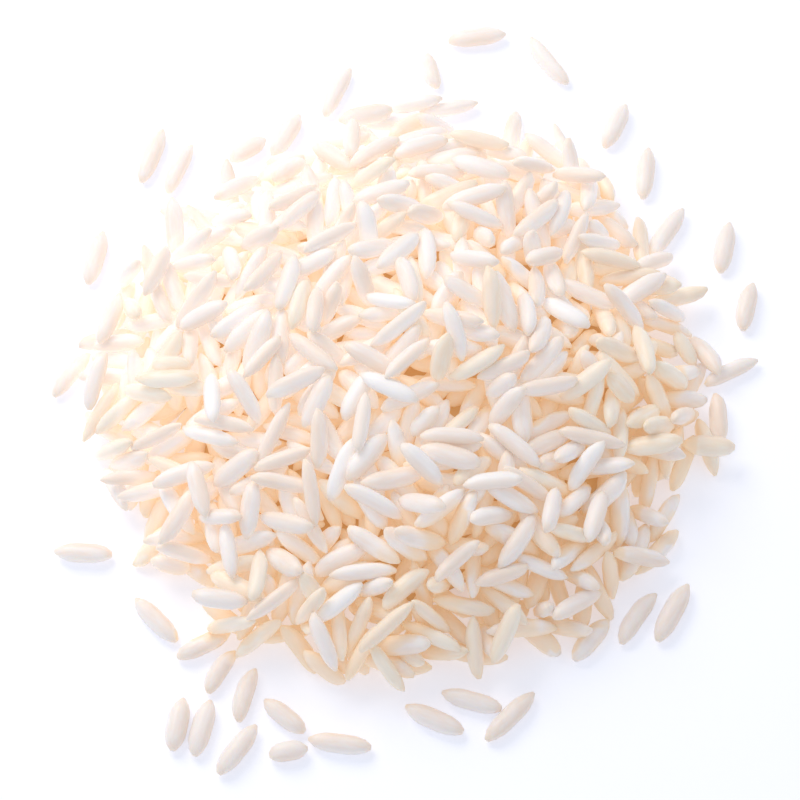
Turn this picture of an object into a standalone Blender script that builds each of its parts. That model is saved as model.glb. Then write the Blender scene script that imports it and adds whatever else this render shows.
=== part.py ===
"""A small heap of raw long-grain white rice, poured on a flat surface, with single grains round its foot.

Metres, +Z up, the surface at z = 0 and the origin at the middle of the heap's foot.
The heap is one solid: a low core with the grains that show on its surface fused to it.
Each grain that lies apart from the heap is a solid of its own.
"""

import math
import random

import bmesh
import bpy
from mathutils import Matrix, Vector, noise

MM = 0.001

# One raw kernel of long-grain white rice
GRAIN_LENGTH = 7.0 * MM
GRAIN_WIDTH = 2.0 * MM
GRAIN_THICKNESS = 1.7 * MM
GRAIN_SIDES = 5
GRAIN_RINGS = 4
TAPER_POWER = 0.72
BLUNT_END = 0.05
KERNEL_LENGTHS = (0.85, 0.9, 0.95, 1.0, 1.05)

# The heap's form, and how its foot wanders from a circle: (lobes, share of the radius, direction in degrees)
HEAP_RADIUS = 32.8 * MM
HEAP_HEIGHT = 15.6 * MM
FOOT_LOBES = ((1, 0.032, 43), (2, 0.021, 52), (3, 0.014, -44), (4, 0.056, -12), (5, 0.024, 1))
PEAK_SHIFT = Vector((2.0 * MM, -1.0 * MM))
FLANK_POWER = 0.88
LUMP_HEIGHT = 0.7 * MM
LUMP_SPACING = 11.0 * MM

# The core that the grains lie on
CORE_SEGMENTS = 28
CORE_RINGS = 14
CORE_SHARE = 0.92
CORE_DEPTH = 0.75 * GRAIN_THICKNESS
CORE_RIM = 0.3 * MM

# How the grains that show lie on the core, on a spiral from the peak to the foot
HEAP_GRAINS = 242
GRAIN_REACH = 0.965
GOLDEN_ANGLE = math.radians(137.508)
PLACE_SPREAD = 0.8 * MM
TILT_SPREAD = math.radians(10)
ROLL_SPREAD = math.radians(25)
RISE_SPREAD = 0.25 * MM
GRAIN_SINK = 0.2 * MM
DRAWS = 24
SEED = 7

# The fringe: from this share of the reach outwards the grains lie flat on the surface and point outwards
FRINGE_REACH = 0.88
FRINGE_SPREAD = math.radians(65)
FLOOR_GAP = 0.06 * MM

# Faces of the fused heap that meet flatter than this become one
SLIVER_ANGLE = math.radians(6)

RICE_WHITE = (0.90, 0.82, 0.72, 1.0)
RICE_CREAM = (0.90, 0.81, 0.66, 1.0)

# Grains that lie apart on the surface: (x in mm, y in mm, heading in degrees, share of the full length)
STRAY_GRAINS = (
    (-7.3, 38.0, 65, 0.97),
    (-25.0, 28.2, 67, 0.95),
    (-28.0, 29.8, 71, 1.00),
    (-17.2, 30.6, 34, 0.68),
    (-12.9, 32.4, 60, 0.85),
    (-34.0, 17.0, 77, 0.95),
    (-36.3, 2.8, 54, 0.92),
    (16.7, 41.8, 125, 1.05),
    (8.8, 45.0, 7, 0.95),
    (3.4, 40.6, 104, 0.66),
    (24.3, 33.6, 65, 0.85),
    (27.6, 27.6, 83, 0.92),
    (29.8, 20.2, 57, 1.00),
    (36.2, 18.3, 79, 0.90),
    (38.4, 11.0, 77, 0.85),
    (36.4, 3.2, 27, 0.95),
    (-34.2, -18.5, 177, 0.90),
    (-26.2, -26.2, 133, 0.95),
    (-21.0, -29.0, 27, 0.90),
    (-19.3, -31.9, 59, 0.80),
    (-16.6, -34.6, 74, 0.90),
    (-23.6, -38.0, 80, 0.85),
    (-21.0, -38.4, 76, 0.92),
    (-17.2, -40.8, 54, 0.95),
    (-12.3, -37.1, 140, 0.80),
    (-11.8, -41.0, 10, 0.60),
    (-6.4, -40.2, 172, 0.97),
    (11.7, -37.1, 46, 1.05),
    (3.6, -37.5, 155, 0.97),
    (7.6, -35.4, 164, 0.95),
    (20.4, -28.4, 51, 0.85),
    (25.3, -25.8, 56, 1.00),
    (29.2, -25.3, 62, 1.05),
)


def clear_scene():
    for obj in list(bpy.data.objects):
        bpy.data.objects.remove(obj)


def new_collection(name):
    collection = bpy.data.collections.new(name)
    bpy.context.scene.collection.children.link(collection)
    return collection


def rice_material(name, colour):
    """Raw polished rice: a dense, slightly waxy white kernel."""
    material = bpy.data.materials.new(name)
    material.use_nodes = True
    shader = material.node_tree.nodes["Principled BSDF"]
    shader.inputs["Base Color"].default_value = colour
    shader.inputs["Roughness"].default_value = 0.4
    shader.inputs["Metallic"].default_value = 0.0
    return material


def foot_radius(angle):
    """How far the heap's foot lies from the origin in this direction."""
    lobes = sum(share * math.cos(count * (angle - math.radians(turn))) for count, share, turn in FOOT_LOBES)
    return HEAP_RADIUS * (1 + lobes)


def outward_share(x, y):
    """0 at the origin, 1 at the heap's foot and beyond it."""
    return min(1.0, math.hypot(x, y) / foot_radius(math.atan2(y, x)))


def heap_height(x, y):
    """Height of the heap's mean surface: a rounded peak, flanks that steepen outward and a thin foot."""
    inward = 1 - outward_share(x, y)
    x, y = x - PEAK_SHIFT.x * inward, y - PEAK_SHIFT.y * inward
    lump = LUMP_HEIGHT * noise.noise(Vector((x, y, 0)) / LUMP_SPACING)
    return HEAP_HEIGHT * math.cos(outward_share(x, y) * math.pi / 2) ** FLANK_POWER + lump * inward


def heap_normal(x, y):
    """The slope that a grain feels: taken over its own length, so that near the foot it lies flatter."""
    step = GRAIN_LENGTH / 2
    slope_x = (heap_height(x + step, y) - heap_height(x - step, y)) / (2 * step)
    slope_y = (heap_height(x, y + step) - heap_height(x, y - step)) / (2 * step)
    return Vector((-slope_x, -slope_y, 1)).normalized()


def make_core(collection, material):
    """The inside of the heap: the upper half of a sphere drawn out to the heap's form, on a flat foot."""
    mesh = bpy.data.meshes.new("rice_heap")
    shape = bmesh.new()
    bmesh.ops.create_uvsphere(shape, u_segments=CORE_SEGMENTS, v_segments=CORE_RINGS, radius=1)
    cut = bmesh.ops.bisect_plane(
        shape,
        geom=shape.verts[:] + shape.edges[:] + shape.faces[:],
        dist=1e-5,
        plane_co=(0, 0, 0),
        plane_no=(0, 0, 1),
        clear_inner=True,
    )
    rim = [edge for edge in cut["geom_cut"] if isinstance(edge, bmesh.types.BMEdge)]
    bmesh.ops.contextual_create(shape, geom=rim)
    for vertex in shape.verts:
        outward = math.atan2(vertex.co.xy.length, max(vertex.co.z, 0)) / (math.pi / 2)
        angle = math.atan2(vertex.co.y, vertex.co.x)
        reach = outward * CORE_SHARE * foot_radius(angle)
        x, y = reach * math.cos(angle), reach * math.sin(angle)
        on_floor = vertex.co.z < 1e-4
        vertex.co = (x, y, 0 if on_floor else max(heap_height(x, y) - CORE_DEPTH, CORE_RIM))
    shape.normal_update()
    bmesh.ops.recalc_face_normals(shape, faces=shape.faces)
    shape.to_mesh(mesh)
    shape.free()
    mesh.materials.append(material)
    core = bpy.data.objects.new("rice_heap", mesh)
    collection.objects.link(core)
    return core


def grain_mesh(name, length_share, material):
    """One kernel along X, a flat side down: a five-sided spindle, fuller than an ellipsoid, one end blunter."""
    section_width = 2 * math.sin(math.radians(72))
    section_height = 1 + math.cos(math.radians(36))
    mesh = bpy.data.meshes.new(name)
    shape = bmesh.new()
    bmesh.ops.create_uvsphere(shape, u_segments=GRAIN_SIDES, v_segments=GRAIN_RINGS, radius=1)
    first = max(shape.verts, key=lambda vertex: round(vertex.co.xy.length, 4))
    turn = Matrix.Rotation(-math.atan2(first.co.y, first.co.x), 3, "Z")
    for vertex in shape.verts:
        up, aside, along = turn @ vertex.co
        girth = math.hypot(up, aside)
        fuller = girth ** (TAPER_POWER - 1) if girth > 1e-6 else 0
        vertex.co = (
            (along + BLUNT_END * girth * girth) * length_share * GRAIN_LENGTH / 2,
            -aside * fuller * GRAIN_WIDTH / section_width,
            up * fuller * GRAIN_THICKNESS / section_height,
        )
    shape.to_mesh(mesh)
    shape.free()
    mesh.shade_smooth()
    mesh.materials.append(material)
    return mesh


def axis_points(matrix, half_length):
    """Five points along a grain's axis, for the distance to its neighbours."""
    return [matrix @ Vector((half_length * share, 0, 0)) for share in (-0.85, -0.42, 0, 0.42, 0.85)]


def clearance(points, placed):
    """Distance from these axis points to the nearest grain already placed, up to a grain's length."""
    middle = points[len(points) // 2]
    nearest = GRAIN_LENGTH
    for others in placed:
        if (others[len(others) // 2] - middle).length < 1.1 * GRAIN_LENGTH:
            nearest = min(nearest, min((a - b).length for a in points for b in others))
    return nearest


def slope_matrix(x, y, heading, draw):
    """A grain on the heap's flank: along the slope, turned by heading, tilted, rolled and raised a little."""
    up = heap_normal(x, y)
    ahead = Vector((math.cos(heading), math.sin(heading), 0))
    ahead = (ahead - up * ahead.dot(up)).normalized()
    frame = Matrix((ahead, up.cross(ahead), up)).transposed().to_4x4()
    height = heap_height(x, y) - CORE_DEPTH + GRAIN_THICKNESS / 2 - GRAIN_SINK + draw.gauss(0, RISE_SPREAD)
    tilt = Matrix.Rotation(draw.gauss(0, TILT_SPREAD), 4, "Y")
    roll = Matrix.Rotation(draw.uniform(-ROLL_SPREAD, ROLL_SPREAD), 4, "X")
    return Matrix.Translation((x, y, height)) @ frame @ tilt @ roll


def fringe_matrix(x, y, heading):
    """A grain at the heap's foot, flat on the surface, its inner end under the flank."""
    return Matrix.Translation((x, y, GRAIN_THICKNESS / 2)) @ Matrix.Rotation(heading, 4, "Z")


def lowest_point(matrix, mesh):
    return min((matrix @ vertex.co).z for vertex in mesh.vertices)


def place_heap_grains(collection, kinds):
    """Spreads the grains evenly on a spiral, each turned to lie as clear of its neighbours as it can."""
    draw = random.Random(SEED)
    placed = []
    for index in range(HEAP_GRAINS):
        length_share, mesh = kinds[draw.randrange(len(kinds))]
        half_length = length_share * GRAIN_LENGTH / 2
        reach = math.sqrt((index + 0.5) / HEAP_GRAINS)
        wander = PLACE_SPREAD / max(reach * HEAP_RADIUS, GRAIN_LENGTH / 2)
        best_clear, best = -1, None
        for _ in range(DRAWS):
            angle = index * GOLDEN_ANGLE + draw.uniform(-wander, wander)
            out = reach * GRAIN_REACH * foot_radius(angle) + draw.uniform(-PLACE_SPREAD, PLACE_SPREAD / 2)
            x, y = out * math.cos(angle), out * math.sin(angle)
            if reach > FRINGE_REACH:
                matrix = fringe_matrix(x, y, angle + draw.uniform(-FRINGE_SPREAD, FRINGE_SPREAD))
            else:
                matrix = slope_matrix(x, y, draw.uniform(0, math.pi), draw)
            clear = clearance(axis_points(matrix, half_length), placed)
            if clear > best_clear:
                best_clear, best = clear, matrix
        lift = max(0, FLOOR_GAP - lowest_point(best, mesh))
        best = Matrix.Translation((0, 0, lift)) @ best
        placed.append(axis_points(best, half_length))
        grain = bpy.data.objects.new(f"heap_grain_{index + 1:03d}", mesh)
        grain.matrix_world = best
        collection.objects.link(grain)


def fuse(core, collection):
    """Joins the grains to the core, and removes what was joined."""
    bpy.context.view_layer.update()
    union = core.modifiers.new("grains", "BOOLEAN")
    union.operation = "UNION"
    union.operand_type = "COLLECTION"
    union.collection = collection
    union.solver = "EXACT"
    bpy.context.view_layer.objects.active = core
    bpy.ops.object.modifier_apply(modifier=union.name)
    for grain in list(collection.objects):
        bpy.data.objects.remove(grain)
    bpy.data.collections.remove(collection)


def keep_outer_shell(obj):
    """Fills the hollows that fusing sealed and drops loose scraps: only the largest connected surface stays."""
    shape = bmesh.new()
    shape.from_mesh(obj.data)
    unseen = set(shape.faces)
    islands = []
    while unseen:
        start = unseen.pop()
        island, edge_of_island = [start], [start]
        while edge_of_island:
            face = edge_of_island.pop()
            for edge in face.edges:
                for other in edge.link_faces:
                    if other in unseen:
                        unseen.remove(other)
                        island.append(other)
                        edge_of_island.append(other)
        islands.append(island)
    largest = max(islands, key=len)
    spare = [face for island in islands if island is not largest for face in island]
    bmesh.ops.delete(shape, geom=spare, context="FACES")
    bmesh.ops.dissolve_limit(shape, angle_limit=SLIVER_ANGLE, verts=shape.verts, edges=shape.edges)
    shape.to_mesh(obj.data)
    shape.free()


def place_stray_grains(collection, material):
    """The grains that lie apart, flat on the surface beside the heap."""
    for number, (x, y, heading, length_share) in enumerate(STRAY_GRAINS, start=1):
        name = f"stray_grain_{number:02d}"
        mesh = grain_mesh(name, length_share, material)
        stray = bpy.data.objects.new(name, mesh)
        stray.rotation_euler = (0, 0, math.radians(heading))
        stray.location = (x * MM, y * MM, -min(vertex.co.z for vertex in mesh.vertices))
        collection.objects.link(stray)


def main():
    clear_scene()
    rice = new_collection("rice")
    loose = new_collection("grains_to_fuse")
    white = rice_material("rice_white", RICE_WHITE)
    cream = rice_material("rice_cream", RICE_CREAM)
    kinds = [(share, grain_mesh(f"kernel_{share:.2f}", share, white)) for share in KERNEL_LENGTHS]
    core = make_core(rice, white)
    place_heap_grains(loose, kinds)
    fuse(core, loose)
    keep_outer_shell(core)
    place_stray_grains(rice, cream)


main()
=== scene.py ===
import math
import random

import bmesh
import bpy
import numpy as np
from mathutils import Euler, Matrix, Vector
from mathutils.bvhtree import BVHTree


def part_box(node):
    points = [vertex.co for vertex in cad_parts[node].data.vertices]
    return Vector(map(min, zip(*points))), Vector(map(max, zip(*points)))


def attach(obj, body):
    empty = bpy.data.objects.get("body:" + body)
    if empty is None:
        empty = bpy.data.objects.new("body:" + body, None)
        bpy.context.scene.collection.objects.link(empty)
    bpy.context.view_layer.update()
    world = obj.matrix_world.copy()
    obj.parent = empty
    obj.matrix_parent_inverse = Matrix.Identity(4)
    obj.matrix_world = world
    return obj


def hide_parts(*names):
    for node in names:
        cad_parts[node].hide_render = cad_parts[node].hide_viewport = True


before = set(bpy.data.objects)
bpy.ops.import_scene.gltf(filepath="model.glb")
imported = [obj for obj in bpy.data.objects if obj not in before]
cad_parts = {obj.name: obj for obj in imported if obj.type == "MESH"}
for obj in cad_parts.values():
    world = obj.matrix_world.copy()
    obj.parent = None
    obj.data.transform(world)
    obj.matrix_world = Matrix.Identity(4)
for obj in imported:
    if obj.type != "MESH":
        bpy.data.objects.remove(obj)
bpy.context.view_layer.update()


# The camera
# Looks down on the heap from its near side, as the photo does, from far enough away to flatten the view.
# The photo's frame is about 88 mm wide where the rice lies.
MM = 0.001
FRAME_WIDTH = 88 * MM
CAMERA_DISTANCE = 450 * MM
CAMERA_ELEVATION = math.radians(66)
CAMERA_NEAR = 10 * MM
CAMERA_FAR = 20
SENSOR = 36

bpy.ops.object.select_all(action="DESELECT")
bpy.ops.object.camera_add(
    location=(
        0,
        -CAMERA_DISTANCE * math.cos(CAMERA_ELEVATION),
        CAMERA_DISTANCE * math.sin(CAMERA_ELEVATION),
    ),
    rotation=(math.pi / 2 - CAMERA_ELEVATION, 0, 0),
)
camera = bpy.context.object
camera.data.sensor_width = SENSOR
camera.data.lens = SENSOR * CAMERA_DISTANCE / FRAME_WIDTH
camera.data.clip_start = CAMERA_NEAR
camera.data.clip_end = CAMERA_FAR
bpy.context.scene.camera = camera


# The surface under the rice
# A plain opal white board, matt, lit from above and a little from below, so bright that shadows all but fade
# on it. It is one big sheet, and stage for the heap rather than a piece of it.
FLOOR_SIZE = 6.0


def linear(hex_colour):
    """An sRGB hex colour as linear RGBA."""
    parts = [int(hex_colour[i : i + 2], 16) / 255 for i in (1, 3, 5)]
    return [c / 12.92 if c <= 0.04045 else ((c + 0.055) / 1.055) ** 2.4 for c in parts] + [1.0]


def add_node(tree, kind, settings=None, **inputs):
    """A new node with its settings, and with each named input linked to a socket or set to a value."""
    node = tree.nodes.new(kind)
    for name, value in (settings or {}).items():
        setattr(node, name, value)
    for name, value in inputs.items():
        socket = node.inputs[int(name[1:])] if name[1:].isdigit() else node.inputs[name.replace("_", " ")]
        if isinstance(value, bpy.types.NodeSocket):
            tree.links.new(value, socket)
        else:
            socket.default_value = value
    return node


def new_material(name, **values):
    """A material with one Principled shader, whose named sockets get these values."""
    material = bpy.data.materials.new(name)
    material.use_nodes = True
    material.cycles.emission_sampling = "NONE"
    shader = material.node_tree.nodes["Principled BSDF"]
    for socket, value in values.items():
        shader.inputs[socket.replace("_", " ")].default_value = value
    return material, material.node_tree, shader


bpy.ops.object.select_all(action="DESELECT")
bpy.ops.mesh.primitive_plane_add(size=FLOOR_SIZE)
floor = bpy.context.object
floor.name = "white_board"
# Opal white board: matt, with no gloss that would mirror the heap, and lit a little from below
opal_board, _, _ = new_material(
    "opal_white_board",
    Base_Color=linear("#F4F5F8"),
    Roughness=0.8,
    Specular_IOR_Level=0.2,
    Emission_Color=linear("#E6ECFF"),
    Emission_Strength=0.28,
)
floor.data.materials.append(opal_board)


# The inside of the heap
# The kernels that never show, taken together: a low mound of rice under the ones that do.
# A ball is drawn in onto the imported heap, smoothed of its grains, cut flat just over the board and shrunk to
# lie well inside.
CORE_SEGMENTS = 72
CORE_RINGS = 36
# The ball's radius as a share of the heap's width, how flat it is, and the point that it is drawn in to
BALL_SHARE = 0.65
BALL_FLATNESS = 0.6
BALL_MIDDLE = Vector((0, 0, 1 * MM))
CORE_SMOOTHING = 8
CORE_GAP = 0.3 * MM
# The mound's share of the heap's width and of its height
CORE_SHARE = 0.87
CORE_HEIGHT = 0.49
# The size of its streaks of colour, and how many times narrower they are along Y
STREAK_SIZE = 2.5 * MM
STREAK_ASPECT = 2.6

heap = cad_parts["rice_heap"]
heap_low, heap_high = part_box("rice_heap")
heap_reach = max(heap_high.x - heap_low.x, heap_high.y - heap_low.y)

bpy.ops.object.select_all(action="DESELECT")
bpy.ops.mesh.primitive_uv_sphere_add(
    segments=CORE_SEGMENTS, ring_count=CORE_RINGS, radius=BALL_SHARE * heap_reach, location=BALL_MIDDLE
)
bpy.ops.object.transform_apply(location=True, rotation=False, scale=False)
core = bpy.context.object
core.name = "heap_inside"
bpy.ops.object.mode_set(mode="EDIT")
bpy.ops.mesh.select_all(action="SELECT")
bpy.ops.transform.resize(value=(1, 1, BALL_FLATNESS))
bpy.ops.object.mode_set(mode="OBJECT")
# A shrinkwrap along the ball's normals differs a little from run to run, so each corner is drawn in by a ray
heap_skin = BVHTree.FromPolygons(
    [vertex.co for vertex in heap.data.vertices], [face.vertices for face in heap.data.polygons]
)
for vertex in core.data.vertices:
    inward = BALL_MIDDLE - vertex.co
    vertex.co = heap_skin.ray_cast(vertex.co, inward)[0] or vertex.co
smooth = core.modifiers.new("grains smoothed out", "SMOOTH")
smooth.factor = 0.5
smooth.iterations = CORE_SMOOTHING
bpy.ops.object.modifier_apply(modifier=smooth.name)
bpy.ops.object.mode_set(mode="EDIT")
bpy.ops.mesh.select_all(action="SELECT")
bpy.ops.mesh.bisect(plane_co=(0, 0, CORE_GAP), plane_no=(0, 0, 1), use_fill=True, clear_inner=True)
bpy.ops.mesh.select_all(action="SELECT")
bpy.ops.transform.resize(
    value=(CORE_SHARE, CORE_SHARE, CORE_HEIGHT), center_override=(0, 0, CORE_GAP)
)
bpy.ops.object.mode_set(mode="OBJECT")
bpy.ops.object.shade_smooth()

# Rice in the depth of the heap, in painted shade and painted glow: its warm tan, darker than the kernels,
# stands in for the shade down there, and its emission for light that has passed through many kernels and comes
# back warm, in soft streaks as long as a kernel
shaded_rice, tree, shader = new_material("rice_in_the_depth_painted_shade_and_glow", Roughness=0.6, Emission_Strength=0.15)
place = add_node(tree, "ShaderNodeTexCoord").outputs["Object"]
lying = add_node(tree, "ShaderNodeMapping", Vector=place, Scale=(1, STREAK_ASPECT, 1)).outputs["Vector"]
streaks = add_node(tree, "ShaderNodeTexNoise", Vector=lying, Scale=1 / STREAK_SIZE, Detail=2.0).outputs["Fac"]
tone = add_node(
    tree, "ShaderNodeMix", {"data_type": "RGBA"}, Factor=streaks, _6=linear("#D3A05E"), _7=linear("#E8C898")
).outputs[2]
tree.links.new(tone, shader.inputs["Base Color"])
tree.links.new(tone, shader.inputs["Emission Color"])
core.data.materials.append(shaded_rice)
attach(core, "root")
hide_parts("rice_heap")


# One kernel of each shape
# Raw white rice, milled and polished: a slim oval rod, blunter where the germ has broken out, often a little
# bowed. Each shape is modelled once, lying along X, at a unit for a millimetre, so that its measures are a real
# kernel's; its copies are brought to true size when they become pieces.
KERNEL_SIDES = 8
BODY_SHARE = 0.28
# Kernels: (name, length, width, thickness, bow, depth of the germ's notch), in millimetres
KERNEL_SHAPES = (
    ("full", 6.9, 2.28, 1.80, 0.10, 0.22),
    ("long", 7.3, 2.10, 1.72, 0.22, 0.15),
    ("straight", 6.7, 2.20, 1.78, 0.00, 0.28),
    ("slim", 6.9, 1.98, 1.65, 0.30, 0.12),
    ("short", 6.1, 2.25, 1.82, 0.08, 0.25),
    ("bowed", 6.6, 2.10, 1.70, 0.42, 0.20),
    ("broken", 4.3, 2.12, 1.74, 0.05, 0.00),
)
# How much a kernel with a bow turns from end to end, in radians for each millimetre of bow and of length
BOW_TURN = 8
# How each end narrows: (share of the way to the tip, girth left)
GERM_END = ((0.34, 0.94), (0.73, 0.69), (1.00, 0.27))
FAR_END = ((0.32, 0.92), (0.70, 0.63), (1.00, 0.18))


def select_faces(obj, wanted):
    """In edit mode, selects the faces whose normal and middle pass the test, and nothing else."""
    shape = bmesh.from_edit_mesh(obj.data)
    bpy.ops.mesh.select_all(action="DESELECT")
    for face in shape.faces:
        if wanted(face.normal, face.calc_center_median()):
            face.select_set(True)
    bmesh.update_edit_mesh(obj.data)


def model_kernel(name, length, width, thickness, bow, notch):
    """A kernel along X at the origin: a short rod, drawn out and narrowed at both ends."""
    bpy.ops.object.select_all(action="DESELECT")
    bpy.ops.mesh.primitive_cylinder_add(
        vertices=KERNEL_SIDES, radius=width / 2, depth=length * BODY_SHARE, rotation=(0, math.pi / 2, 0)
    )
    kernel = bpy.context.object
    kernel.name = f"kernel_{name}"
    bpy.ops.object.transform_apply(location=False, rotation=True, scale=False)
    bpy.ops.object.mode_set(mode="EDIT")
    for way, ends in ((1, GERM_END), (-1, FAR_END)):
        select_faces(kernel, lambda normal, middle: normal.x * way > 0.9)
        reach = length * (1 - BODY_SHARE) / 2
        at, girth = 0, 1
        for share, left in ends:
            further = (way * reach * (share - at), 0, 0)
            bpy.ops.mesh.extrude_region_move(TRANSFORM_OT_translate={"value": further})
            tip = way * (length * BODY_SHARE / 2 + reach * share)
            bpy.ops.transform.resize(
                value=(1, left / girth, left / girth), center_override=(tip, 0, 0)
            )
            at, girth = share, left
        if way == 1:
            bpy.ops.transform.translate(value=(0, 0, -notch))
    bpy.ops.mesh.select_all(action="SELECT")
    bpy.ops.transform.resize(value=(1, 1, thickness / width), center_override=(0, 0, 0))
    bpy.ops.object.mode_set(mode="OBJECT")
    if bow:
        bend = kernel.modifiers.new("bow", "SIMPLE_DEFORM")
        bend.deform_method = "BEND"
        bend.deform_axis = "Z"
        bend.angle = BOW_TURN * bow / length
        bpy.ops.object.modifier_apply(modifier=bend.name)
    bpy.ops.object.shade_smooth()
    local = np.array([vertex.co for vertex in kernel.data.vertices])
    for axis, (name, size) in enumerate((("along", length), ("across", width))):
        attribute = kernel.data.attributes.new(name, "FLOAT", "POINT")
        attribute.data.foreach_set("value", local[:, axis] * 2 / size)
    return kernel


kernel_models = [model_kernel(*shape) for shape in KERNEL_SHAPES]


def lay_kernel(model, name, matrix, stretch):
    """A copy of a kernel with a mesh of its own, placed by this matrix and stretched a little."""
    kernel = bpy.data.objects.new(name, model.data.copy())
    kernel.matrix_world = matrix @ Matrix.Diagonal((*stretch, 1))
    bpy.context.scene.collection.objects.link(kernel)
    return kernel


# The stray kernels
# Single kernels that rolled clear of the heap and lie on the board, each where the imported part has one.
# Its length and heading are those of its solid, and it lies on its flatter side.
draw = random.Random(11)
stray_nodes = sorted(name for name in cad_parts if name.startswith("stray_grain"))
strays = []
for name in stray_nodes:
    corners = [vertex.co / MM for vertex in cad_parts[name].data.vertices]
    middle = sum(corners, Vector()) / len(corners)
    tip = max(corners, key=lambda corner: (corner - middle).length)
    tail = max(corners, key=lambda corner: (corner - tip).length)
    model = draw.choice(kernel_models[:-1])
    heading = math.atan2(tip.y - tail.y, tip.x - tail.x)
    share = (tip - tail).length / model.dimensions.x
    girth = draw.uniform(0.94, 1.04)
    rest_height = model.dimensions.z / 2 * girth
    at_rest = Matrix.Translation(((tip.x + tail.x) / 2, (tip.y + tail.y) / 2, rest_height))
    at_rest = at_rest @ Matrix.Rotation(heading, 4, "Z")
    strays.append(lay_kernel(model, f"stray_{len(strays):03d}", at_rest, (share, girth, girth)))


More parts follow.
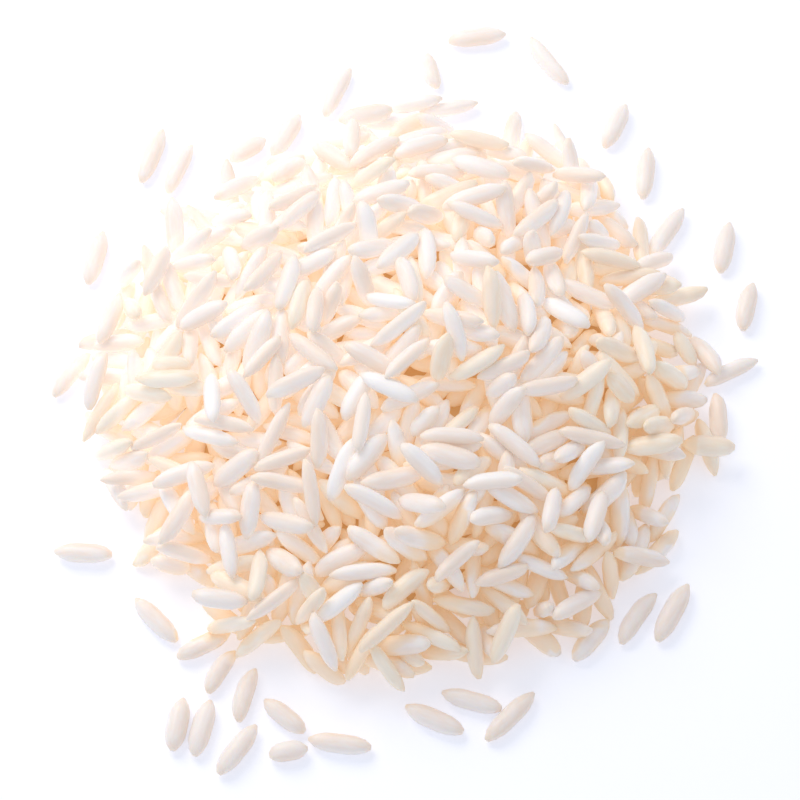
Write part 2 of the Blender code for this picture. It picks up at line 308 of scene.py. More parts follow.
# The poured kernels
# Loose kernels that lean, cross and slide down to a ragged foot on the board, as poured rice does. They were
# let fall on the mound in layers and left to settle as rigid bodies, and this is how each came to rest.
# Nine numbers for each kernel: its shape, counted in KERNEL_SHAPES; its length and its girth in hundredths of
# that shape's; its middle in twentieths of a millimetre; and its turn about x, y and z in degrees
PLACE_UNIT = 0.05
RESTING_KERNELS = """
1 102 93 487 -360 16 161 0 -101  5 95 94 -618 224 16 -19 -1 -109  5 102 93 54 -533 16 -161 0 38
6 96 94 249 -514 16 19 0 53  1 101 102 -321 376 17 161 0 53  2 96 97 553 -123 17 -161 0 40
5 93 103 -83 -559 17 19 0 149  3 101 101 -518 39 17 165 0 58  3 101 93 561 3 17 140 1 -35
2 104 97 469 315 17 -19 -180 52  4 100 93 334 -365 17 -161 0 33  0 95 92 -444 -403 17 -162 0 -39
5 101 103 -635 -81 17 -19 180 -31  2 98 94 3 -627 17 -19 180 -5  1 97 100 -332 -466 17 -19 0 26
6 97 102 -149 474 18 161 1 -1  5 97 102 -536 161 18 -14 0 112  3 97 94 -424 -256 18 -160 5 -96
2 100 99 393 -489 18 19 0 83  0 104 101 -479 -268 18 159 0 109  3 94 105 -575 -208 18 161 2 76
5 100 102 517 265 18 12 0 69  3 103 100 -576 75 18 -153 0 79  0 98 99 -393 412 18 -18 0 -158
2 101 104 296 535 18 -17 0 64  1 96 105 -615 -13 18 -19 -180 -52  1 101 101 149 557 19 -19 -175 -61
1 99 104 -497 -165 19 -19 -3 -40  4 93 103 -538 -233 19 162 0 -104  0 102 103 161 -601 19 -1 180 -10
5 96 93 640 29 19 -158 6 65  1 95 102 555 -369 20 -41 0 48  4 104 93 236 -468 20 -117 0 58
0 102 94 209 567 20 118 0 -34  1 95 102 616 -157 20 -56 0 -111  0 104 101 8 614 20 -24 -178 55
5 98 92 576 56 20 106 -2 -67  3 94 101 -237 583 20 -46 0 -176  3 100 104 672 -120 20 -62 -1 105
2 95 104 -487 322 20 -162 -4 64  3 104 97 369 604 20 86 0 -73  0 98 93 111 714 20 62 -180 13
6 100 104 -513 214 21 120 1 -20  2 99 102 -16 680 21 41 -179 6  4 103 92 -242 -557 21 63 -175 14
6 95 104 299 -449 21 -127 0 -73  3 99 101 -470 442 21 18 10 -1  5 104 98 -310 473 22 -93 0 147
1 103 100 252 637 22 18 9 78  5 99 103 571 -287 22 -74 0 -121  4 101 103 697 -58 22 120 0 92
4 98 100 297 -564 23 -159 11 -39  0 101 102 455 454 23 -75 0 142  3 105 98 -411 -374 23 33 -171 -24
2 104 103 -642 136 23 -59 -174 13  1 99 92 -327 -354 24 -75 8 -43  1 97 102 340 -455 24 78 -7 107
5 100 101 521 -94 25 68 13 57  4 100 92 -402 -340 25 65 14 -25  5 97 95 -142 -591 25 63 17 -65
2 96 98 171 -489 26 -27 -16 100  4 94 97 -191 437 27 63 18 -178  4 97 101 -67 628 27 65 14 126
4 102 96 -523 -298 28 16 -21 66  1 95 105 537 371 28 78 13 91  1 94 98 -108 567 29 72 -20 -150
1 97 101 -508 251 29 59 7 -10  0 96 98 404 317 30 10 19 34  5 95 96 391 377 31 61 27 104
5 100 99 675 96 32 -9 20 120  3 94 105 47 596 33 -77 18 31  1 98 102 -255 473 33 150 -24 -64
1 95 92 -615 -225 33 -30 21 116  0 99 97 349 -546 33 79 -22 -20  2 96 99 537 167 34 14 -28 -149
0 100 104 276 580 34 91 20 74  5 102 104 31 719 34 63 162 3  4 97 97 -533 -360 34 37 154 44
5 99 103 -622 80 35 -24 22 157  2 96 95 296 448 36 123 28 -37  1 99 96 483 130 36 -123 22 78
4 100 96 369 504 36 89 -29 -145  3 98 101 -383 502 36 33 27 -80  4 95 92 -162 -640 36 51 31 -31
5 104 100 -564 -136 36 156 -23 -7  5 99 99 -212 -593 36 176 29 -48  2 96 95 -374 -525 36 18 -164 -35
2 99 102 -208 -448 37 -63 -29 117  1 98 100 398 -322 37 -77 -24 136  1 102 99 -264 -408 37 -17 -18 119
0 103 96 -102 -588 37 18 25 -63  3 101 95 86 -605 37 -38 151 -13  2 98 104 -319 -510 37 -80 -27 140
0 102 103 -275 547 37 169 -24 18  2 105 103 -129 623 37 152 -27 -7  2 99 100 361 435 38 -8 26 100
1 105 95 450 362 38 108 -28 -62  5 103 96 423 -468 38 -19 24 -63  2 94 93 443 -233 39 -91 30 -93
3 102 104 527 -173 39 -27 26 -106  5 101 102 542 221 39 -8 -31 -107  0 103 100 356 -386 39 -34 -29 152
2 101 101 586 -146 39 -139 7 -115  4 102 96 -370 -431 39 79 6 -116  2 105 96 591 -66 40 29 14 20
1 99 98 508 -379 40 11 2 67  1 103 104 337 386 41 -100 24 -46  5 104 93 589 161 41 33 -37 -180
0 96 102 -63 -516 42 19 145 -34  5 98 102 -116 515 42 67 -43 -8  5 96 103 -478 133 43 -113 -20 49
3 98 99 -239 -477 43 -127 -32 107  4 103 98 87 653 43 166 42 -10  5 93 98 -245 514 43 -85 -132 9
5 101 100 -458 -242 44 159 3 -65  2 96 93 112 -546 44 30 0 134  6 99 105 628 102 44 -126 -15 120
4 102 98 488 -200 45 36 137 44  5 99 105 -103 468 45 44 -22 -129  1 96 98 443 -321 45 -173 37 52
1 102 92 -567 181 46 3 -7 76  2 102 102 -445 349 46 59 -142 -65  6 102 95 459 500 46 -60 10 112
2 96 98 525 72 47 53 136 -70  3 104 104 540 -219 47 -110 32 -102  5 100 103 -365 289 48 19 41 131
1 93 101 -471 -83 48 -139 -39 48  2 94 101 448 183 48 94 43 53  0 97 93 -422 225 48 138 32 73
2 102 95 195 -520 48 -31 30 -69  0 93 105 476 391 48 83 -7 -42  6 103 96 -493 -408 48 -156 18 -7
5 104 104 429 -280 49 -129 -37 13  4 96 92 -5 -550 50 51 -128 58  3 100 95 -434 398 50 59 -3 -51
4 99 102 10 -606 50 126 -22 -48  2 97 93 -207 501 50 -171 49 14  1 102 97 -478 -18 51 -37 150 50
4 98 99 525 118 51 54 -52 -144  3 103 103 -138 -509 51 -133 -38 42  0 95 100 -638 33 51 31 -9 -180
5 98 95 23 657 51 -19 -18 -143  3 99 103 -31 -634 51 -142 1 -20  0 93 94 -366 -297 52 -75 -12 -34
5 93 99 -497 180 52 116 59 -64  5 97 95 -341 404 52 96 -18 -98  3 94 101 421 514 52 122 14 108
5 96 100 351 -337 53 16 -167 -32  5 94 94 -511 289 53 52 -9 163  2 103 104 334 587 53 138 1 -41
6 102 103 188 -585 53 34 -11 -65  0 94 96 -333 325 54 175 -15 -31  1 94 102 -586 -171 54 -53 129 -9
4 100 93 489 -317 54 -19 14 102  3 94 97 551 -22 55 132 47 -46  2 98 99 -325 -401 55 81 12 -100
0 96 94 597 35 55 -5 10 14  1 97 99 -509 -109 55 -26 41 160  3 95 104 572 100 55 -25 48 11
4 93 100 616 -23 55 167 16 5  5 97 97 452 -431 55 131 60 -77  4 101 96 536 -298 55 85 143 -39
2 104 97 615 224 55 153 9 19  4 93 93 -523 46 56 -76 8 -25  5 105 100 108 -496 56 148 55 -9
3 100 99 223 587 56 -12 -25 -28  4 94 101 -444 -128 57 9 19 -103  2 96 101 -298 384 57 -22 -14 -77
3 104 98 425 -379 57 102 20 31  5 102 94 -194 -546 57 10 -52 -89  6 100 99 146 538 57 1 144 -24
4 94 96 -618 112 57 26 10 -179  4 102 99 -78 677 57 34 -1 12  4 94 101 671 -135 57 26 -1 -5
6 97 95 169 590 57 97 -20 -58  0 93 95 -170 -461 58 92 -124 -42  3 95 98 -547 8 58 -24 -50 31
2 96 96 -182 536 58 -119 33 78  3 94 95 -305 -580 58 -117 -28 32  0 98 98 -622 -143 58 49 127 -7
1 101 97 -654 -56 58 123 -15 58  1 104 102 74 -469 59 53 -17 42  1 105 104 168 498 59 -39 26 30
1 103 93 479 173 59 -122 20 57  5 102 102 -487 230 59 -10 -157 -50  3 96 99 -274 -481 59 119 63 -64
0 99 101 245 -476 59 -79 0 -113  1 104 97 402 400 59 -81 -37 -101  4 99 95 307 -516 59 15 -111 113
4 105 98 496 -29 60 -136 22 46  4 97 99 292 -459 60 -19 3 72  3 93 102 -588 -211 60 131 15 10
0 96 93 -502 397 60 12 164 94  3 94 103 225 499 61 47 -146 -53  0 94 105 -553 -101 61 44 -40 -39
3 101 104 426 257 62 -4 1 -54  4 105 95 496 -95 62 164 18 64  2 96 93 -384 -218 63 -15 157 -17
5 104 96 -530 116 63 47 -22 -97  1 94 93 158 -604 63 37 32 -84  1 103 104 69 513 64 -42 29 115
5 95 101 -20 514 64 29 129 -14  4 94 95 -110 -456 64 -25 -126 -96  5 96 102 -285 -431 64 -8 -23 61
1 98 94 56 -547 64 1 -59 137  0 101 95 -280 457 64 84 21 113  2 101 94 -594 -4 64 -15 23 -101
0 93 103 562 307 64 136 37 38  4 100 95 -244 346 65 -2 -158 85  4 101 94 337 332 65 13 9 126
4 98 97 179 -427 65 116 24 29  1 103 103 251 -400 65 162 30 42  5 104 97 -410 -326 65 -147 1 111
4 102 93 -449 76 68 -77 -29 18  4 101 102 33 505 68 -98 -23 -68  5 103 98 482 21 68 -59 -24 -165
2 99 101 -13 -486 68 -129 -11 124  0 99 93 519 -398 68 8 -28 -179  4 97 96 -319 -532 68 39 -24 63
1 105 97 258 -562 68 -140 12 8  4 102 93 -206 411 69 -144 -14 -101  2 105 101 305 477 69 -26 158 -85
1 98 95 -483 -354 69 -132 16 11  5 101 104 -362 492 69 -77 -25 -141  0 99 97 87 582 70 -71 4 -165
1 101 92 -538 -246 71 41 0 15  1 102 96 484 285 72 -62 -25 -170  2 98 97 -461 -392 72 -84 -156 -7
1 97 95 -342 -272 73 3 -7 -17  1 94 101 -120 483 73 6 34 153  0 97 93 381 237 74 41 5 149
2 100 100 -171 386 74 31 -7 -105  3 96 100 576 -154 74 -76 4 91  4 101 94 -17 568 74 39 -35 -88
3 97 102 344 -263 75 140 4 30  5 99 93 -57 444 75 130 7 13  2 101 94 -462 -175 75 84 151 -9
4 102 96 -391 327 75 -21 172 2  4 98 99 -600 273 75 68 115 10  4 95 96 -399 287 76 -126 111 -2
0 96 101 564 245 76 -24 150 -19  3 100 99 -499 6 77 -82 -31 48  2 99 103 382 -449 77 65 148 -43
3 101 102 380 466 77 -131 20 -18  0 94 105 -499 -47 78 23 167 23  2 95 95 -638 163 78 1 -2 -109
4 94 94 -437 -239 79 15 174 58  2 98 105 -73 545 79 85 18 141  3 102 104 -222 -361 80 84 -11 -3
1 97 105 -244 -487 80 135 27 -108  4 103 103 -147 560 80 13 14 140  3 98 100 -362 -559 80 85 140 -7
3 101 93 -80 -619 80 40 30 -126  5 102 94 264 415 81 175 9 -31  1 102 94 384 525 81 24 -147 -78
1 95 102 376 -510 81 9 -21 -143  1 103 99 423 -161 82 134 21 3  3 101 95 -369 -330 82 -131 13 -78
3 101 105 -454 225 82 -39 -21 -97  1 97 95 130 516 83 108 134 -16  1 93 100 -313 425 83 -56 -22 -85
1 95 96 -539 151 83 -19 -15 6  3 100 101 590 179 83 -67 54 5  0 96 92 425 429 84 14 -174 9
0 99 96 -589 182 84 -72 51 115  5 97 96 -27 -660 84 56 -147 -49  3 100 102 268 533 85 173 18 20
1 97 104 43 605 85 -41 13 23  5 100 92 -667 9 85 -2 19 -107  1 93 97 -350 -425 86 -68 16 -174
2 94 97 115 554 86 2 -1 -166  5 103 96 -547 265 86 130 20 -77  3 104 96 -129 -571 86 104 4 -85
2 98 99 388 149 87 7 -161 66  6 99 103 542 -95 87 -68 -9 -73  3 98 104 -363 424 87 5 64 117
1 96 97 65 -586 87 -78 0 -25  0 93 94 149 -383 88 39 -14 28  4 97 99 209 -386 88 -97 -21 -126
2 103 94 -399 -149 88 57 -3 -74  3 102 96 -443 146 89 -4 13 -161  4 95 105 333 -393 89 140 1 -118
2 96 95 412 -288 89 18 -17 142  3 101 100 -611 -68 89 -68 23 -144  5 105 99 -89 -406 90 -79 -11 122
0 95 95 -142 -415 90 0 -52 35  4 100 100 -152 456 90 -175 -17 -22  5 101 95 352 356 90 149 19 98
1 98 96 514 192 90 109 -18 -45  0 95 101 3 -608 90 -175 -18 -3  0 98 93 -77 377 91 32 7 170
2 101 98 157 432 91 -75 16 25  5 102 99 -355 225 91 8 47 136  0 102 92 258 -379 91 5 33 50
3 93 100 -355 183 92 30 13 174  1 96 93 187 387 93 33 -2 175  4 95 105 226 476 93 -123 6 -17
3 101 99 -374 -23 94 17 17 -173  1 101 96 -400 117 94 -62 139 -2  1 96 98 -481 -296 94 15 -175 -59
3 97 100 -86 -563 94 114 -40 63  4 93 98 -254 273 95 -136 -16 3  3 98 94 221 -516 95 161 -2 -42
2 94 99 -108 601 95 47 -22 -91  2 103 100 -305 -229 96 52 -10 -58  1 103 96 414 -24 96 45 -9 116
3 97 96 -255 362 96 -118 -23 -60  4 102 97 -397 14 96 -104 -14 23  0 103 95 -359 378 96 6 -34 -25
0 99 93 506 254 96 71 10 -175  0 98 98 177 595 96 142 6 -11  1 100 100 14 -400 97 -45 -9 161
4 103 94 317 236 97 75 20 104  0 99 105 -315 -332 97 -16 -179 -51  0 104 100 -42 -529 97 160 -27 -33
1 96 100 -496 -151 98 -13 29 -158  2 103 97 -210 -493 98 -23 150 74  6 94 103 -406 -252 99 -148 15 54
6 95 97 358 -305 99 105 -118 -39  4 98 96 561 -38 99 -39 32 -63  3 103 101 -573 0 99 -38 -33 96
1 102 100 473 -307 99 -6 -24 90  0 93 94 247 303 100 -30 16 3  3 99 94 -94 334 100 -25 168 -29
1 103 94 83 392 101 121 11 132  4 103 102 -218 -321 101 15 14 158  1 93 93 -482 -211 102 69 7 152
4 96 99 -247 518 102 13 -31 -132  3 102 97 415 -404 102 71 9 43  2 102 93 614 -83 102 -90 -124 50
0 99 105 202 -309 103 36 19 1  5 99 93 68 -447 103 -171 -35 28  4 97 93 484 -186 103 -63 -174 -30
3 95 98 -401 -345 103 39 -13 -85  0 101 95 -9 447 104 -4 -4 51  6 98 99 -247 232 104 -48 162 -2
0 103 100 405 -210 104 10 -20 -161  0 98 104 -347 -481 104 9 14 146  2 103 95 223 -588 104 -13 -28 64
0 99 93 90 -400 105 50 -2 -34  3 103 93 46 -488 105 -102 -50 116  1 94 95 -315 274 106 -20 19 149
1 99 98 -437 248 106 -16 -159 83  6 100 98 438 359 106 -174 61 -20  0 101 101 -552 -74 106 -32 -31 30
0 97 100 135 -525 106 121 10 -9  4 99 101 -337 86 107 -27 -19 12  2 98 103 -327 141 107 -16 164 -1
0 100 103 553 -162 107 16 14 158  1 99 101 484 128 107 38 15 98  1 105 99 -222 472 107 -6 -8 15
0 101 95 -383 347 107 46 152 -29  5 95 95 420 456 107 -14 25 85  0 96 105 589 10 107 102 -125 -5
4 98 102 426 43 108 -45 -51 -159  4 99 97 22 -436 108 13 -56 36  1 97 98 447 -127 108 -41 -170 27
0 103 105 505 46 108 27 2 36  0 105 99 315 -205 109 18 -9 125  0 98 98 403 90 109 49 -140 62
1 95 97 371 176 109 -36 -32 -50  5 97 96 225 -479 109 26 -176 -25  5 100 98 -365 -101 110 -6 -40 -30
0 101 96 -327 -384 110 -48 24 -171  0 97 103 464 -72 110 -45 -165 35  0 104 95 305 154 111 -42 -7 -76
3 103 97 310 310 111 32 -5 -65  2 98 98 -238 429 111 97 -163 6  4 93 100 312 -294 112 -12 4 -85
2 97 100 -182 260 112 107 17 85  0 94 104 -114 -464 112 -169 -24 18  5 101 94 43 572 112 -156 8 23
4 96 104 340 429 112 -23 -178 -68  1 96 101 256 -276 113 21 0 120  4 99 93 109 472 113 59 17 101
0 103 100 367 238 113 7 21 82  5 103 99 175 328 114 -127 16 35  2 99 101 -109 282 114 -25 -17 -38
6 96 94 -122 -310 114 79 10 -56  2 96 98 -249 -252 114 6 8 101  5 93 96 -163 -386 114 9 49 -143
4 101 93 449 87 114 18 -52 -156  5 104 97 -180 -505 114 -24 -127 -38  3 94 103 -537 3 114 10 -25 91
3 95 92 63 -550 114 128 50 -22  2 100 101 -161 -611 114 -92 -28 116  5 99 92 -306 -171 115 -48 -3 12
6 100 100 237 247 115 1 13 -24  3 103 96 400 -80 115 -18 16 -123  5 94 96 15 417 115 90 -30 73
5 104 94 -527 188 115 70 -12 -71  0 101 104 76 346 116 -4 13 137  3 101 99 -374 259 116 48 47 -149
1 100 99 -501 104 116 -128 0 -128  0 96 97 -387 54 117 -77 -34 1  3 104 105 359 -408 117 178 30 51
1 104 100 406 273 117 128 10 95  0 104 97 -293 -86 118 -29 9 149  3 100 93 355 -71 118 1 0 -127
0 104 101 -276 -317 118 106 -6 125  2 97 98 -229 378 118 -64 12 -23  4 93 103 -56 479 118 13 17 134
1 101 102 -450 -12 119 40 -2 93  0 93 101 263 501 119 -95 -148 -5  3 96 97 156 -271 120 19 6 7
0 103 100 -495 -5 120 33 6 -83  5 101 96 -61 554 120 -176 4 35  1 95 94 -497 214 120 145 5 107
4 99 93 25 -316 121 127 14 -43  0 102 103 -70 -330 121 98 17 -92  3 94 95 -423 331 121 -111 -42 13
5 102 92 -523 -140 121 -93 148 13  3 94 99 -308 -126 122 -3 43 -163  5 96 104 -300 320 122 4 19 65
4 101 96 -72 406 122 3 14 178  0 100 96 53 468 122 89 11 92  4 100 93 302 -445 122 55 -163 -18
0 103 95 315 59 123 -22 11 -6  5 98 93 -412 184 123 -3 -179 68  3 96 100 357 -131 123 22 -25 52
1 102 92 -464 312 123 5 -47 18  5 103 99 71 -285 124 -13 -18 112  3 103 101 448 141 124 3 -148 104
6 95 96 351 359 124 0 15 -167  6 98 97 -204 170 125 23 13 155  0 104 103 136 -350 125 -71 2 -167
6 99 97 146 371 125 131 28 -77  0 104 103 -371 -254 125 169 -3 -71  2 100 104 529 211 125 0 -3 -145
0 96 96 217 451 125 -149 15 -66  1 97 103 -475 -332 125 39 -5 59  4 96 102 327 -358 126 -36 11 -156
0 105 92 -410 -19 126 140 11 -72  3 99 92 441 324 126 -1 44 15  0 98 104 399 491 126 47 29 160
5 95 96 430 -360 126 -122 -45 -75  2 101 98 -170 -220 127 -24 -18 59  5 103 98 -14 -349 127 5 -8 -73
5 94 95 194 408 127 -84 -7 -73  3 104 102 -403 -127 127 -78 -9 -69  4 93 100 -217 -400 127 104 16 -33
2 97 92 -274 -24 128 -73 7 142  4 100 93 -132 329 128 -12 26 126  3 104 96 -268 -522 128 83 0 39
2 96 98 -147 217 129 -69 15 95  3 105 101 -265 28 129 -17 -12 -19  3 95 96 482 2 129 65 4 17
6 99 95 -248 65 130 -12 -9 -27  1 93 92 244 -140 130 30 1 42  5 95 97 -367 -34 130 133 -1 110
1 94 93 155 -448 130 -57 -4 -91  2 101 97 442 -193 130 -8 21 -46  4 96 92 -189 -537 130 104 -51 35
2 96 101 -129 -527 131 40 156 33  4 101 105 -2 292 132 -2 5 22  3 103 94 -56 369 133 -77 161 7
1 96 98 218 -351 133 -106 6 -128  1 95 103 461 282 133 142 21 -5  2 96 99 -365 -410 133 -92 -1 99
3 95 98 318 16 134 128 -4 16  6 104 99 81 -487 134 -169 52 46  4 99 105 -382 -521 134 17 -172 -5
3 100 104 205 167 135 -9 9 80  2 100 93 -455 269 135 -84 -41 -8  2 105 96 156 256 136 -4 3 58
3 95 94 -44 330 136 -75 23 36  2 103 92 -203 -284 136 118 0 -60  2 98 93 -267 169 136 -40 -16 -26
1 100 101 -194 434 136 -11 10 -77  0 99 103 -245 -439 136 -29 142 -48  5 96 105 443 -282 136 -13 155 37
3 98 99 -301 -467 136 20 -164 84  4 97 98 310 422 137 132 -42 31  0 94 94 557 -121 137 -127 52 35
3 102 97 -154 -303 138 -37 -10 115  3 95 103 245 190 138 -79 11 -90  3 104 93 -267 -202 138 6 -15 21
0 96 101 -236 289 138 -12 -175 18  5 100 104 -128 -430 138 -25 21 -159  4 96 94 525 -101 138 17 33 43
3 104 104 -177 -126 140 156 -13 19  5 93 100 -21 -244 140 0 -8 13  4 97 100 -366 177 140 -123 24 -121
5 96 94 -145 421 140 -51 15 75  1 96 96 -465 -235 140 -23 5 -162  4 102 92 387 328 140 96 11 -115
2 94 103 276 122 141 9 -15 29  4 97 97 323 -70 141 10 -9 -110  0 96 96 -52 -497 141 50 121 -16
2 103 99 -372 376 141 -55 -49 -18  3 100 94 -197 82 142 -8 6 101  2 102 104 -104 173 142 -9 -9 -116
0 98 94 -186 -177 143 -57 -33 40  0 101 103 -41 -408 143 33 -29 13  3 102 93 476 -141 143 -151 -10 -93
0 95 104 543 -169 143 -10 -13 4  4 101 103 253 -31 144 -24 12 -32  3 96 92 151 -245 144 33 -154 18
2 93 95 21 252 144 -19 -12 -177  3 101 98 228 -192 144 69 45 -41  2 102 101 -229 -318 144 8 17 -70
2 98 96 113 366 144 -121 -3 -63  5 100 93 286 -291 144 -16 2 119  3 103 96 295 507 144 22 -46 -160
3 103 102 170 -164 145 37 0 56  1 100 102 233 293 145 4 -158 88  3 98 94 -414 70 145 122 10 110
0 100 103 -106 -176 146 -11 14 -102  1 95 93 -38 -209 146 48 2 17  2 105 102 -309 215 146 -10 24 121
6 100 102 32 379 146 9 178 -48  1 97 100 -456 71 146 61 -23 -89  3 101 96 411 186 146 23 9 -22
1 105 97 -29 -588 146 72 17 -141  5 93 105 214 -472 146 115 4 20  0 100 96 -49 192 147 10 1 96
0 102 100 -317 -160 147 29 156 -19  4 103 104 262 426 147 87 -4 60  1 100 93 492 157 147 -7 -43 143
2 97 92 222 -80 148 -14 -8 -180  3 103 104 119 -299 148 48 2 13  1 98 92 285 -196 148 -53 8 -79
5 103 103 243 -389 148 -37 -29 162  1 95 96 447 40 148 134 -6 -126  2 95 101 -534 243 148 69 1 67
0 105 99 106 -195 149 -27 -1 -111  1 94 100 -203 -83 149 -26 4 -4  0 104 95 205 -238 149 27 -16 116
0 94 100 360 104 149 -41 125 -56  5 99 103 373 -303 149 42 -158 51  4 100 94 365 -376 149 -74 36 2
6 104 93 180 71 150 -21 -9 -156  4 96 104 -214 245 150 80 -1 -130  4 103 100 331 -209 150 -63 -137 40
1 94 93 -131 365 151 -45 3 47  1 100 94 302 365 151 -6 -166 -73  0 99 96 84 485 152 35 -15 -171
5 99 97 100 -452 152 -41 -4 126  5 96 99 8 -500 152 -7 15 -142  4 94 97 -385 -340 152 -45 -36 -15
4 98 99 -144 -21 153 -14 -2 -21  5 96 93 380 3 153 -59 -49 55  4 98 94 -15 127 154 -13 0 -102
3 97 104 -85 -255 154 -13 -39 28  2 98 98 129 -409 154 156 -21 -16  2 102 93 -110 62 155 -27 3 69
5 93 101 -158 67 155 11 -15 -91  3 94 105 354 384 155 -38 10 74  2 97 98 -545 -54 155 -73 27 157
3 105 104 -510 26 155 6 -13 57  3 99 101 -47 -43 156 -10 5 -152  2 105 104 75 191 156 62 10 60
5 95 103 -328 93 156 40 -26 -94  2 93 98 -213 394 156 -132 9 -81  4 96 99 -44 427 156 13 -3 -179
1 102 103 293 -373 156 4 -1 -56  3 98 104 -11 -129 157 -25 -3 -172  4 99 99 66 -160 157 6 -1 50
5 98 101 -344 -197 157 160 2 -25  4 99 93 -417 219 157 103 -15 -16  0 101 96 87 313 158 -28 -17 -23
3 101 96 34 -298 158 85 -3 83  5 103 98 118 441 158 -15 -24 160  3 100 99 -301 -260 158 -61 177 25
2 93 97 105 111 159 -26 -8 -22  1 99 93 -53 -181 159 94 15 24  5 99 104 -303 -6 159 6 3 98
5 95 97 344 168 159 -69 -20 -54  1 98 96 -79 -469 159 -103 -2 5  4 99 98 -399 113 159 -141 12 108
5 97 104 267 73 160 14 0 32  4 104 104 -302 327 160 -1 -169 -9  1 103 100 316 -265 160 93 -145 -12
5 105 104 458 -79 160 -62 -26 -99  2 98 95 -256 356 160 58 150 -29  4 102 96 42 207 161 -74 -11 63
0 97 104 -272 84 161 -15 0 87  3 99 99 -191 -364 161 100 -21 122  2 97 98 443 -226 161 36 152 -7
2 94 103 -320 -329 162 -28 -25 82  4 101 98 416 -345 162 157 5 74  1 97 100 530 49 162 -148 -16 -78
1 104 100 -13 -295 163 -27 -8 106  4 93 100 291 287 163 25 -113 -71  0 102 99 109 0 164 -14 -4 -149
6 104 96 136 -54 164 -30 2 -141  0 98 102 -164 173 164 -11 21 139  4 102 96 -54 -334 164 37 0 -96
4 95 101 -466 -40 164 14 -21 -20  3 101 101 474 -17 164 33 -141 -35  2 93 93 -15 47 165 26 0 -165
1 93 93 182 231 165 62 -8 142  4 100 105 -126 -304 165 -37 16 -37  3 102 98 178 -324 165 -73 4 -107
5 95 95 229 150 166 -6 0 130  1 94 99 -405 -107 166 0 20 -158  2 101 104 178 490 166 -6 -4 -19
0 96 93 -76 -1 167 21 -11 -176  5 100 95 -146 -59 167 -33 6 161  2 103 103 -218 42 167 -13 3 101
4 94 100 -211 -126 167 25 21 160  6 104 96 -364 12 167 65 -2 75  6 96 93 -83 372 167 -12 -36 80
1 103 103 -442 165 167 114 24 -129  4 105 95 -430 -284 167 147 -4 105  4 103 97 2 -59 169 -35 15 -148
0 98 103 -106 217 169 38 10 152  2 97 94 -341 -44 169 55 9 -99  4 101 97 237 -130 169 66 -11 105
0 95 99 72 -333 169 48 -45 48  0 104 97 -243 -361 169 65 -28 -25  4 98 93 385 -34 170 46 -25 177
1 94 94 415 -84 170 -76 -32 71  4 97 105 277 9 171 25 16 -62  2 102 103 -291 -93 171 50 1 -124
2 103 98 265 224 171 -46 48 -21  3 93 93 -79 150 172 34 -7 134  3 99 103 -14 192 172 20 -11 -128
3 97 104 337 -62 172 -27 10 -13  1 100 96 335 215 172 16 -33 -78  1 95 97 -279 275 173 12 -8 -21
3 104 101 -25 290 173 30 24 -174  5 101 93 79 -62 174 13 19 -138  4 100 98 182 113 174 25 -9 162
1 102 100 257 -67 174 -8 -7 135  5 96 96 322 12 174 -44 -153 -59  6 98 97 -291 237 174 9 8 -29
2 96 101 -322 146 174 -158 -20 5  3 104 99 62 65 175 25 -1 94  2 96 94 -235 -157 175 103 -8 -22
3 95 103 232 378 175 0 -161 -84  3 97 95 -102 -275 176 -13 10 127  4 101 105 -352 -239 176 9 -30 31
1 94 98 250 -408 176 13 -10 56  2 103 95 470 40 176 -42 -134 0  2 105 93 -1 337 177 -85 160 -18
3 95 97 310 -138 178 166 7 31  2 96 94 132 -328 178 -131 -26 35  2 95 96 -186 342 178 35 -9 89
5 101 100 176 36 179 -45 17 -27  2 104 104 120 220 179 4 -3 112  5 98 101 273 154 179 28 171 -50
3 101 93 249 294 179 -7 -44 -127  3 100 101 108 412 179 32 -10 19  6 100 97 68 -215 180 19 9 174
2 100 103 -56 -417 180 -46 -7 147  0 101 104 363 -201 180 -40 45 53  2 102 105 -163 273 180 -132 28 1
3 94 96 396 -231 180 -16 26 -129  5 102 99 124 -165 181 29 -4 120  4 96 99 -131 95 181 -24 11 43
5 104 103 -205 165 181 -153 0 107  4 101 97 311 -182 181 56 11 29  1 96 94 135 350 181 -6 -25 -104
4 101 103 -379 -50 181 21 42 -172  5 100 95 -367 250 181 -143 -32 -78  2 104 100 223 -209 182 -75 -27 151
6 97 102 -493 0 182 -24 -1 178  3 100 95 58 293 183 49 30 158  2 102 97 -187 -219 183 -95 6 146
2 96 95 225 -270 183 24 -30 85  2 95 101 -147 395 183 -75 -5 -96  0 96 100 409 -136 183 73 -135 -12
0 95 95 164 -73 184 42 -3 60  4 99 98 -182 -90 184 -2 1 148  4 94 98 173 -137 184 144 18 62
2 103 98 -406 -167 184 52 161 -23  3 99 101 300 351 184 29 6 43  1 97 97 -293 361 185 -148 16 90
4 102 103 96 -278 186 -27 -4 174  3 97 103 -101 -141 187 12 -4 52  0 95 97 -55 71 187 -61 2 -1
1 95 98 21 -362 187 -79 -19 125  1 102 102 411 -172 187 74 -15 172  4 101 98 -427 119 187 -1 26 -162
1 102 94 -130 326 188 124 -51 48  1 99 98 309 79 189 10 -19 160  4 94 105 313 259 189 144 35 35
0 96 100 -34 414 189 -14 -5 78  4 98 100 11 -420 189 -5 -146 -25  1 102 95 -34 -36 190 -28 -4 38
0 101 98 24 -106 190 -20 -6 143  6 98 99 -169 -2 190 84 -5 -53  5 94 94 188 253 190 62 -2 135
5 96 103 119 -454 190 60 5 -138  1 99 97 93 117 191 -15 -11 -85  4 104 97 -252 12 191 40 9 -127
6 100 94 414 -5 191 26 -44 138  1 102 102 -246 -278 191 57 -14 174  5 99 98 -376 -139 192 46 -5 170
6 98 99 474 -56 192 37 33 -42  1 99 93 224 38 193 18 2 -69  5 93 94 -111 377 193 -59 -27 101
